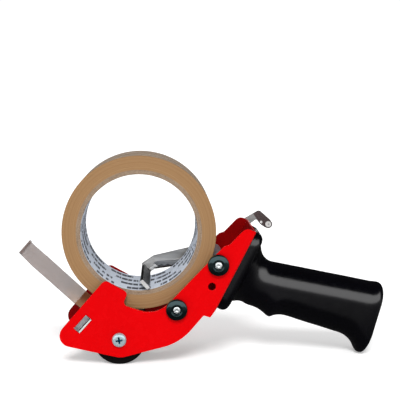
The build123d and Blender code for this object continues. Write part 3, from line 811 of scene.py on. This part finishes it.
# --- Tape leader ----------------------------------------------------------------------------------
SLOT_X, SLOT_Z, SLOT_ANGLE = -36.9, 28.2, math.radians(47.7)
BAR_WIDTH, BAR_T, BAR_MID = 11.8, 3.2, 0.9
FILM_T, FILM_CLEAR, BAR_CLEAR_ALONG, BAR_CLEAR_OUT = 0.12, 0.5, 0.45, 0.1
LEADER_LENGTH, LEADER_ANGLE = 58.9, math.radians(136.9)
BEND = 3.0                             # the film bends over the bar within this much of its corner
HEM_SHOWN, HEM_GAP, HEM_FOLD = 1.6, 0.3, 0.25
RUN_STEPS, BEND_STEPS, FREE_STEPS, FOLD_STEPS, HEM_STEPS = 12, 6, 28, 6, 4
ACROSS, NEAR_SAG, FILM_WAVE = 40, 0.8, 0.5


def slot_point(along, out):
    """Side-view point on the guide bar's axes."""
    c, s = math.cos(SLOT_ANGLE), math.sin(SLOT_ANGLE)
    return Vector((SLOT_X + along * c - out * s, SLOT_Z + along * s + out * c))


def leader_path():
    """Side-view points of the film from the roll to its free end and back along the hem, then
    the directions out along the film and to its side, and the guide bar's corner."""
    corner = slot_point(BAR_WIDTH / 2 + BAR_CLEAR_ALONG, BAR_MID + BAR_T / 2 + BAR_CLEAR_OUT)
    to_axis = math.hypot(corner.x, ROLL_Z - corner.y)
    tangent_r = ROLL_R + FILM_CLEAR
    run = math.sqrt(to_axis**2 - tangent_r**2)
    rise = math.atan2(ROLL_Z - corner.y, -corner.x) - math.atan2(tangent_r, run)
    along = Vector((math.cos(rise), math.sin(rise)))
    out = Vector((math.cos(LEADER_ANGLE), math.sin(LEADER_ANGLE)))
    side = Vector((out.y, -out.x))
    roll_off, tip = corner + along * run, corner + out * LEADER_LENGTH
    bend_in, bend_out = corner + along * BEND, corner + out * BEND
    points = [roll_off + (bend_in - roll_off) * k / RUN_STEPS for k in range(RUN_STEPS + 1)]
    for k in range(1, BEND_STEPS + 1):
        t = k / BEND_STEPS
        points.append(bend_in * (1 - t) ** 2 + corner * 2 * t * (1 - t) + bend_out * t**2)
    for k in range(1, FREE_STEPS + 1):
        points.append(corner + out * (BEND + (LEADER_LENGTH - BEND) * k / FREE_STEPS))
    for k in range(1, FOLD_STEPS + 1):
        a = math.pi * k / FOLD_STEPS
        points.append(tip + side * HEM_GAP * (1 - math.cos(a)) + out * HEM_FOLD * math.sin(a))
    for k in range(1, HEM_STEPS + 1):
        points.append(tip + side * 2 * HEM_GAP - out * HEM_SHOWN * k / HEM_STEPS)
    return points, out, side, corner


def leader_film():
    """Bmesh of the film along its path, with a faint wave and sag where it is free, and the
    length of the path in millimetres."""
    path, out, side, corner = leader_path()
    film = bmesh.new()
    rows = []
    travelled = 0.0
    for i, point in enumerate(path):
        if i:
            travelled += (point - path[i - 1]).length
        free = max(0.0, (point - corner).dot(out)) / LEADER_LENGTH
        row = []
        for k in range(ACROSS + 1):
            y = -TAPE_HALF + 2 * TAPE_HALF * k / ACROSS
            ripple = noise.noise(Vector((travelled * 0.05, y * 0.06, 4.2)))
            near = 0.5 - y / (2 * TAPE_HALF)
            sag = NEAR_SAG * near * min(1.0, 5 * free, 5 * max(0.0, 1 - free))
            at = point - side * (ripple * FILM_WAVE * free**1.3 + sag)
            row.append(film.verts.new(place(at.x, y, at.y)))
        rows.append(row)
    for low, high in zip(rows, rows[1:]):
        for k in range(ACROSS):
            film.faces.new((low[k], low[k + 1], high[k + 1], high[k]))
    return film, travelled


film, film_length = leader_film()
film_mesh = from_bmesh("film_end", film)
leader = add_piece("film_end", film_mesh, ["tape_leader"], [film_material()], sharp=60)
thickness = leader.modifiers.new("thickness", "SOLIDIFY")
thickness.thickness, thickness.offset = FILM_T * MM, 0.0

# --- Brake arm and spring -------------------------------------------------------------------------
arm_finishes = [arm_material(), arm_edge, shaded_arm_steel, arm_cut]
strip = dressed(
    "arm_strip", "brake_arm", arm_finishes, bevel=0.18,
    edge_material=arm_finishes.index(arm_edge),
)
for face in strip.data.polygons:
    y = width_of(face)
    if abs(face.normal.y) > 0.9 and y < OUTER_Y - 2:
        face.material_index = arm_finishes.index(arm_cut)
    # Faces inside the channel or turned down take the dark steel, a painted shade.
    elif abs(y) < INNER_Y or face.normal.z < -0.3:
        face.material_index = arm_finishes.index(shaded_arm_steel)
dressed("lever_pin", "thumb_pin", [pin_material()], bevel=0.35, segments=3)

# The spring's hook goes with the arm and its other leg stays in the plate. Here it rides on no
# body, with its place baked into its mesh.
spring_mesh = from_bmesh("torsion_spring", clean_copy("arm_spring"))
spring = add_piece(
    "torsion_spring", spring_mesh, ["arm_spring"], [spring_steel], sharp=60, rides=False,
)
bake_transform(spring)


# --- Handle ---------------------------------------------------------------------------------------
GRIP_VOXEL, FILLING_SWEEPS, FILLING_SHARE = 0.8, 40, 0.5


def moulded_grip():
    """The handle as one moulding: the CAD solid remeshed finely, with its inside corners filled."""
    mesh = from_bmesh("moulded_grip", clean_copy("handle_grip"))
    piece = add_piece("moulded_grip", mesh, ["handle_grip"], [handle_plastic], sharp=180)
    remesh = piece.modifiers.new("remesh", "REMESH")
    remesh.mode = "VOXEL"
    remesh.voxel_size = GRIP_VOXEL * MM
    remesh.use_smooth_shade = True
    depsgraph = bpy.context.evaluated_depsgraph_get()
    fine = bpy.data.meshes.new_from_object(piece.evaluated_get(depsgraph))
    piece.modifiers.clear()
    bm = bmesh.new()
    bm.from_mesh(fine)
    for _ in range(FILLING_SWEEPS):
        bm.normal_update()
        moves = []
        for v in bm.verts:
            ring = [e.other_vert(v).co for e in v.link_edges]
            pull = sum(ring, Vector()) / len(ring) - v.co
            if pull.dot(v.normal) > 0:
                moves.append((v, pull * FILLING_SHARE))
        for v, pull in moves:
            v.co += pull
    bm.to_mesh(fine)
    bm.free()
    fine.polygons.foreach_set("use_smooth", [True] * len(fine.polygons))
    fine.materials.clear()
    fine.materials.append(handle_plastic)
    piece.data = fine


moulded_grip()

# --- CAD nodes that stay --------------------------------------------------------------------------
for node, material in (
    ("front_axle", zinc), ("front_axle_spacers", nylon), ("front_roller_bushes", nylon),
    ("arm_washer", zinc), ("handle_washers", zinc),
):
    kept = frame["nodes"][node]
    kept.data.materials.clear()
    kept.data.materials.append(material)
